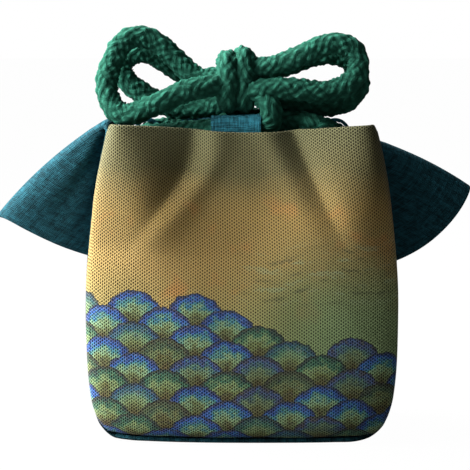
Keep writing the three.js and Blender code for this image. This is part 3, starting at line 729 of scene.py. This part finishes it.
def stitch_row(name, line, normals, thread):
    """Stitches laid end to end along a line on the cloth, each a bent thread on the arc of a sine."""
    run = np.concatenate([[0], np.cumsum(np.linalg.norm(np.diff(line, axis=0), axis=1))])
    count = int(run[-1] / (STITCH_LENGTH + STITCH_GAP))
    start = (np.arange(count) + 0.1) * run[-1] / count
    share = np.linspace(0, 1, STITCH_RINGS)
    at = start[:, None] + share * STITCH_LENGTH
    middle = np.stack([np.interp(at, run, line[:, k]) for k in range(3)], axis=-1)
    normal = unit(np.stack([np.interp(at, run, normals[:, k]) for k in range(3)], axis=-1))
    side = np.cross(unit(np.gradient(middle, axis=1)), normal)
    bow = np.sin(np.pi * share)[None, :, None]
    middle = middle + normal * (STITCH_RADIUS * (1.3 * bow - 0.9))
    turn = np.linspace(0, 2 * np.pi, STITCH_SIDES, endpoint=False)[:, None]
    thick = STITCH_RADIUS * (0.35 + 0.65 * bow**0.5)[..., None]
    round_way = np.cos(turn) * side[:, :, None] + np.sin(turn) * normal[:, :, None]
    rings = middle[:, :, None] + thick * round_way
    numbers = (np.arange(count), np.arange(STITCH_RINGS - 1), np.arange(STITCH_SIDES))
    k, i, j = np.meshgrid(*numbers, indexing="ij")
    corners = [
        (k * STITCH_RINGS + i + a) * STITCH_SIDES + (j + b) % STITCH_SIDES
        for a, b in ((0, 0), (0, 1), (1, 1), (1, 0))
    ]
    mesh = bpy.data.meshes.new(name)
    mesh.from_pydata((rings.reshape(-1, 3) * MM).tolist(), [], np.stack(corners, -1).reshape(-1, 4).tolist())
    mesh.polygons.foreach_set("use_smooth", np.ones(len(mesh.polygons), dtype=bool))
    mesh.materials.append(thread)
    piece = bpy.data.objects.new(name, mesh)
    bpy.context.scene.collection.objects.link(piece)
    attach(piece, "root")
    return piece


def thread_material(name, colour):
    """Spun sewing thread: one colour with fine twisted ridges, and painted shade in the grooves between them.
    """
    material, shader, _, position = new_material(name)
    twist = position.noise(2600.0, 2.0)
    # Painted shade: a darker copy of the colour where the twist is low.
    shade = twist.step(0.3, 0.7).blend(linear(np.array(colour) * 0.62), linear(colour))
    rough_cloth(shader, shade, twist, THREAD_BUMP)
    return material


teal_thread = thread_material("teal_thread", THREAD_TEAL)
lit_strap_linen = slub_linen("lit_strap_linen", STRAP_LIT_TEAL)
for tab in TABS:
    profile = strap_profile(tab["lean"])
    along = np.linspace(tab["width"] / 2, -tab["width"] / 2, TAB_COLUMNS)
    rise = profile[:, 1, None] - tab["tilt"] * along
    strap = placed(tab, profile[:, 0, None] + 0 * along, along + 0 * rise, rise)
    piece = grid_piece(tab["name"] + "_strap", strap, flat_lengths(strap), lit_strap_linen)
    thicken(piece, TAB_THICKNESS, 0.0)
    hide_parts(tab["name"])
    for edge, share in (("a", STITCH_INSET), ("b", 1 - STITCH_INSET)):
        column = round(share * (TAB_COLUMNS - 1))
        normal = outward(strap)[:, column]
        line = strap[:, column] + normal * TAB_THICKNESS / 2
        stitch_row(f"{tab['name']}_stitches_{edge}", line, normal, teal_thread)
    length = np.linalg.norm(np.diff(profile, axis=0), axis=1).sum() * MM
    cut = (length, max(tab["width"] * MM, NARROWEST_CUT))
    area = length * tab["width"] * MM

# Drawstring. One length of thick green cotton cord, braided of soft strands. It runs through the four belt
# loops, and both ends are tied over the mouth in a bow of four loops held by two upright turns.
CORE_RADIUS, LUMP = 3.75, 1.3
STRANDS, BRAID_PITCH = 7, 3.9
AROUND, STEP, END_ROUND = 96, 0.36, 3.0
SETTLE_ROUNDS, SOFTEN_ROUNDS = 70, 3
# The crevice green is painted shade where the braid is low.
CREVICE_SHADE_GREEN, CROWN_GREEN, PATCH_GREEN = (22, 60, 48), (41, 94, 78), (29, 82, 66)
YARNS, CORD_BUMP = 3.0, 0.00016
ROUTES = {
    "neck_cord": [
        (3, -7.5, 135.6), (8, -11.4, 134.4), (10.6, -14.2, 131.2), (11.9, -14, 127.4), (11.2, -13, 123.7),
        (9.7, -11.8, 121.6), (-2.3, -11.6, 121.1), (-12, -11.6, 121), (-24, -11.4, 120), (-33, -9.2, 119.2),
        (-37.1, -3.6, 119), (-37.1, 0, 119), (-37.1, 3.6, 119.1), (-33.4, 9, 120), (-26, 11.5, 120.9),
        (-14.3, 11.6, 121.1), (-3, 11.6, 121.1), (9, 11.6, 121), (22, 11.5, 120.4), (33, 9.2, 119.4),
        (37.1, 3.6, 119), (37.1, 0, 119), (37.1, -3.6, 119.2), (33.6, -8.6, 121), (27, -9.4, 123.2),
        (18, -6, 124.1), (9, -1.8, 124.8), (-5, -1, 124.8), (-9, -2, 127.5),
    ],
    "bow_loop_left_front": [
        (-4, -4.2, 141.6), (-10.5, -3.8, 141), (-16.8, -2.7, 140.5), (-21.9, -1.4, 144.1),
        (-26.4, -0.7, 148.6), (-31.1, -0.6, 153), (-36.5, -0.7, 156.5), (-42.8, -1.2, 157.2),
        (-47.8, -2.8, 153.7), (-50.5, -4.7, 148.2), (-52.5, -7, 142.4), (-52.9, -9.3, 136.4),
        (-50.8, -11.4, 130.8), (-46.2, -13.8, 127.2), (-40.2, -15.8, 128), (-34.4, -16.4, 130.8),
        (-28.6, -16.5, 133.6), (-22.7, -15.8, 136.1), (-16.7, -14.6, 137.8), (-10.5, -12.8, 138.6),
        (-4, -10.4, 139.4),
    ],
    "bow_loop_left_back": [
        (-4, 1, 140), (-10.5, 5, 139.4), (-16.7, 6.9, 139.3), (-22.6, 8, 141.5), (-27.9, 8.5, 145.1),
        (-33.2, 8.8, 148.7), (-39.2, 9, 151), (-45.3, 9, 149.4), (-48.6, 8.5, 144.2), (-45.5, 8.1, 138.8),
        (-40.3, 7.5, 135.1), (-35, 6.2, 131.8), (-29.2, 4.6, 129.6), (-23, 3.1, 128.9), (-16.7, 1.5, 129.1),
        (-10.5, 0, 129.8), (-4, -2.6, 131.6),
    ],
    "bow_loop_right_front": [
        (0, -7, 144.2), (5.8, -7.8, 144.8), (12.2, -8.9, 145.7), (18.4, -9.6, 147.9), (24.4, -10, 150.7),
        (30.4, -10, 153.3), (36.8, -10, 154.9), (42.9, -10, 152.8), (45.7, -10.2, 147),
        (43.7, -10.7, 140.9), (38.4, -11.3, 137.2), (32, -11.9, 136), (25.4, -12.5, 136.3),
        (18.9, -12.9, 137.1), (12.3, -12.9, 137.4), (5.8, -12.4, 136.6), (0, -10, 137),
    ],
    "bow_loop_right_back": [
        (0, 0, 144.2), (5.8, 1.6, 144.8), (12.1, 2.3, 144.8), (18.2, 2.4, 146.2), (24.1, 2.2, 148.2),
        (30.1, 1.8, 150.1), (36.4, 1.3, 150.5), (42.2, 0.7, 148.6), (45.9, 0.2, 143.6), (46.2, -0.2, 137.4),
        (42.7, -0.5, 132.4), (36.8, -0.6, 130.3), (30.5, -0.8, 130), (24.3, -0.9, 130.9),
        (18.2, -1.1, 132.2), (12, -1.5, 133.4), (5.8, -2, 134.4), (0, -3, 135.6),
    ],
}
KNOT_MIDDLE, KNOT_PITCH, KNOT_DEEP, KNOT_LEAN = np.array((-2.3, -6.0, 141.0)), 6.4, 5.8, 1.2
KNOT_BELOW, KNOT_LEFT_ABOVE, KNOT_RIGHT_ABOVE, KNOT_FORWARD = 10.0, 7.2, 8.7, 1.8


def knot_route():
    """Two upright turns side by side, a helix of oval form whose step to the right is a smooth step."""
    wraps = np.linspace(0.1, 1.9, 41)
    turn = 2 * np.pi * wraps
    over = smoothstep(wraps, 0.7, 1.3) - 0.5
    above = np.where(wraps < 1, KNOT_LEFT_ABOVE, KNOT_RIGHT_ABOVE)
    deep = KNOT_DEEP * np.sign(np.cos(turn)) * np.abs(np.cos(turn)) ** 0.8
    forward = KNOT_FORWARD * np.maximum(-np.sin(turn), 0) - KNOT_LEAN * over
    rise = np.where(np.sin(turn) > 0, above, KNOT_BELOW) * np.sin(turn)
    return KNOT_MIDDLE + np.stack([KNOT_PITCH * over, deep - forward, rise], axis=-1)


ROUTES["bow_knot"] = knot_route()
LUMP_ROWS = 128
uneven_strands = np.random.default_rng(7).uniform(0.45, 1.15, (LUMP_ROWS, 2 * STRANDS))


def braid(p, q):
    """Height of a round braid: two families of slanting strands, one on top in every other crossing.

    Each crossing is a rounded lump, narrow across its strand and longer along it, of its own fullness.
    """
    cell_p, cell_q = np.floor(p).astype(int), np.floor(q).astype(int)
    over = (cell_p + cell_q) % 2 == 0
    along = np.where(over, p - cell_p, q - cell_q) - 0.5
    wide = np.where(over, q - cell_q, p - cell_p) - 0.5
    lump = np.cos(np.pi * wide) ** 0.9 * np.cos(0.92 * np.pi * along) ** 0.9
    return lump * uneven_strands[(cell_p - cell_q) % LUMP_ROWS, (cell_p + cell_q) % (2 * STRANDS)]


def braided_tube(route, anchor):
    """A tube round a route whose radius is a core plus the braid, drawn in to a point at both ends."""
    rough = smooth_run(route, 400)
    length = np.linalg.norm(np.diff(rough, axis=0), axis=1).sum()
    path = smooth_run(route, int(length / STEP))
    for _ in range(SETTLE_ROUNDS):
        path[1:-1] = (path[:-2] + 2 * path[1:-1] + path[2:]) / 4
    run = np.concatenate([[0], np.cumsum(np.linalg.norm(np.diff(path, axis=0), axis=1))])[:, None]
    ahead = unit(np.gradient(path, axis=0))
    side = unit(np.cross(ahead, path - anchor))
    up = np.cross(side, ahead)
    turn = np.linspace(0, 2 * np.pi, AROUND + 1)[None, :]
    sway = 0.3 * np.sin(run * 0.31) + 0.16 * np.sin(run * 0.93 + 2)
    bunch = 0.14 * np.sin(3 * turn + run * 0.41) + 0.1 * np.sin(run * 1.3 - 2 * turn)
    p = STRANDS * turn / (2 * np.pi) + run / BRAID_PITCH + sway + bunch
    q = STRANDS * turn / (2 * np.pi) - run / BRAID_PITCH + sway - bunch
    height = braid(p, q)[:, :-1]
    for _ in range(SOFTEN_ROUNDS):
        height = sum(np.roll(height, move, axis) for axis in (0, 1) for move in (-1, 1)) / 4
    from_end = np.minimum(run, run[-1] - run)
    closed = np.sqrt(1 - (1 - np.clip(from_end / END_ROUND, 0, 1)) ** 2)
    radius = ((CORE_RADIUS + LUMP * height) * closed)[..., None]
    turn = turn[:, :-1, None]
    points = path[:, None] + radius * (np.cos(turn) * side[:, None] + np.sin(turn) * up[:, None])
    return points, np.stack([p, q], axis=-1), height, path


def braided_cotton(name):
    """Soft green cotton: painted shade between the strands, fine yarns along each strand and loose fibres."""
    material, shader, cloth, position = new_material(name)
    p, q = cloth.parts()
    over = (p.floor() + q.floor()) % 2.0
    wide = over * (p % 1.0) + (1.0 - over) * (q % 1.0)
    yarns = (wide * (2 * np.pi * YARNS)).sine()
    fibres = position.noise(1500.0, 4.0, 0.7)
    patches = position.noise(170.0, 3.0)
    lump = fibres.node("ShaderNodeAttribute", {}, 2, attribute_name="lump")
    # Painted shade: the tone darkens where the braid's lumps, fibres and yarns are low.
    crown = (lump + 0.3 * (fibres - 0.5) + 0.05 * yarns).step(0.0, 0.75)
    tone = crown.blend(linear(CREVICE_SHADE_GREEN), linear(CROWN_GREEN))
    tone = (0.4 * patches.step(0.45, 0.75)).blend(tone, linear(PATCH_GREEN))
    height = 0.3 * yarns + 1.2 * fibres
    rough_cloth(shader, tone, height, CORD_BUMP, 0.95, sheen=0.0, gloss=0.03)
    return material


green_cotton = braided_cotton("green_cotton")
ANCHORS = {"neck_cord": (0.0, 0.0, 108.0), "bow_knot": tuple(KNOT_MIDDLE)}
FACING_ANCHOR = (0.0, 1000.0, 140.0)
for name, route in ROUTES.items():
    points, uv, height, path = braided_tube(route, ANCHORS.get(name, FACING_ANCHOR))
    cord = grid_piece(name + "_braid", points, uv, green_cotton, around=True)
    lumps = cord.data.attributes.new("lump", "FLOAT", "POINT")
    lumps.data.foreach_set("value", height.ravel())
    close_poles(cord)
    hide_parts(name)
    length = np.linalg.norm(np.diff(path, axis=0), axis=1).sum() * MM
    path[0] * MM
    path * MM

# Stage. A pale floor before a white background, a large soft lamp high on the left, a smaller one high behind
# it, a weak fill from the front right, and the camera in front, a little above the rim.
CAMERA_AT, CAMERA_TO, CAMERA_ANGLE = (-0.0027, -0.70, 0.166), (-0.0027, -0.037, 0.083), 15.17
LAMPS = (
    {"name": "key", "at": (-0.70, -0.03, 0.50), "size": 0.70, "watts": 43.0},
    {"name": "fill", "at": (0.30, -0.90, 0.35), "size": 0.6, "watts": 0.6},
    {"name": "top", "at": (-0.42, 0.34, 0.62), "size": 0.35, "watts": 14.0},
)
LAMP_TARGET = (0, 0, 0.08)
WORLD_LIGHT = 0.03
FLOOR_REACH, FLOOR_GREY, FLOOR_WHITE, FLOOR_SEEN_WHITE = 6, (0.12, 0.12, 0.12, 1), 1.03, 0.96


def aim(thing, at, target):
    """Places a lamp or camera so that its -Z axis points at a target."""
    thing.location = at
    thing.rotation_euler = (Vector(target) - Vector(at)).to_track_quat("-Z", "Y").to_euler()


floor_corners = [(-1, -1, 0), (1, -1, 0), (1, 1, 0), (-1, 1, 0)]
floor_mesh = bpy.data.meshes.new("floor")
floor_mesh.from_pydata(np.multiply(floor_corners, FLOOR_REACH).tolist(), [], [(0, 1, 2, 3)])
floor = bpy.data.objects.new("floor", floor_mesh)
bpy.context.scene.collection.objects.link(floor)
floor_paint = bpy.data.materials.new("floor_paint")
floor_paint.use_nodes = True
floor_nodes = floor_paint.node_tree.nodes
floor_shader = floor_nodes["Principled BSDF"]
floor_shader.inputs["Base Color"].default_value = FLOOR_GREY
floor_shader.inputs["Roughness"].default_value = 0.9
seen = Wire(floor_nodes.new("ShaderNodeLightPath").outputs["Is Camera Ray"])
white = seen.node("ShaderNodeEmission", {"Color": (1, 1, 1, 1), "Strength": FLOOR_WHITE})
both = {0: FLOOR_SEEN_WHITE * seen, 1: Wire(floor_shader.outputs[0]), 2: white}
feed(seen.node("ShaderNodeMixShader", both), floor_nodes["Material Output"].inputs["Surface"])
floor_mesh.materials.append(floor_paint)

for lamp in LAMPS:
    light = bpy.data.lights.new(lamp["name"], "AREA")
    light.energy = lamp["watts"]
    light.size = lamp["size"]
    holder = bpy.data.objects.new(lamp["name"], light)
    bpy.context.scene.collection.objects.link(holder)
    aim(holder, lamp["at"], LAMP_TARGET)

world = bpy.data.worlds.new("studio")
bpy.context.scene.world = world
world.use_nodes = True
background = world.node_tree.nodes["Background"]
seen = Wire(world.node_tree.nodes.new("ShaderNodeLightPath").outputs["Is Camera Ray"])
feed(WORLD_LIGHT + (1.0 - WORLD_LIGHT) * seen, background.inputs["Strength"])
background.inputs["Color"].default_value = (1, 1, 1, 1)

lens = bpy.data.cameras.new("camera")
lens.angle = np.radians(CAMERA_ANGLE)
lens.clip_start = 0.01
camera = bpy.data.objects.new("camera", lens)
bpy.context.scene.collection.objects.link(camera)
aim(camera, CAMERA_AT, CAMERA_TO)
bpy.context.scene.camera = camera
bpy.context.scene.view_settings.view_transform = "Standard"
